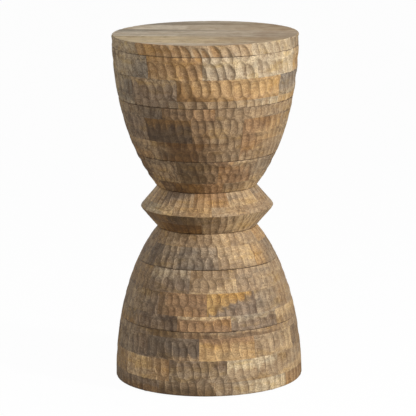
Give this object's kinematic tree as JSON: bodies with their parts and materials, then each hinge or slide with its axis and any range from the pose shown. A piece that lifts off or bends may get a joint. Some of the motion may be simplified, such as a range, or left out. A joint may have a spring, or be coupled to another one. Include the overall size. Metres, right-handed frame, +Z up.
{
  "type": "accent table",
  "caption": "Round hourglass side table of stacked hardwood rings with a bevelled collar at the waist, gouge-carved outside and smooth on top.",
  "frame": {"origin": "centre of the foot, on the floor under the felt pads", "axes": "+Z up the table's turning axis to the top, -Y the pictured front, +X to the right of the front"},
  "size_m": [0.303, 0.303, 0.562],
  "materials": {
    "carved_wood": "gouge-carved mixed-tone hardwood blocks, dry matt wax",
    "smooth_top": "sanded greyed planks, dry matt wax",
    "base_board": "raw sawn board",
    "spigot": "raw turned hardwood",
    "felt": "pressed brown felt"
  },
  "bodies": {
    "root": {"base_board": "base_board", "collar_ring_1": "carved_wood", "collar_ring_2": "carved_wood", "collar_ring_3": "carved_wood", "collar_ring_4": "carved_wood", "felt_pads": "felt", "lower_ring_1": "carved_wood", "lower_ring_2": "carved_wood", "lower_ring_3": "carved_wood", "lower_ring_4": "carved_wood", "lower_ring_5": "carved_wood", "lower_ring_6": "carved_wood", "lower_ring_7": "carved_wood", "lower_ring_8": "carved_wood", "lower_ring_9": "carved_wood", "top_plank_1": "smooth_top", "top_plank_2": "smooth_top", "top_plank_3": "smooth_top", "top_plank_4": "smooth_top", "top_plank_5": "smooth_top", "upper_ring_1": "carved_wood", "upper_ring_2": "carved_wood", "upper_ring_3": "carved_wood", "upper_ring_4": "carved_wood", "upper_ring_5": "carved_wood", "upper_ring_6": "carved_wood", "upper_ring_7": "carved_wood", "upper_ring_8": "carved_wood", "waist_spigot": "spigot"}
  },
  "joints": []
}
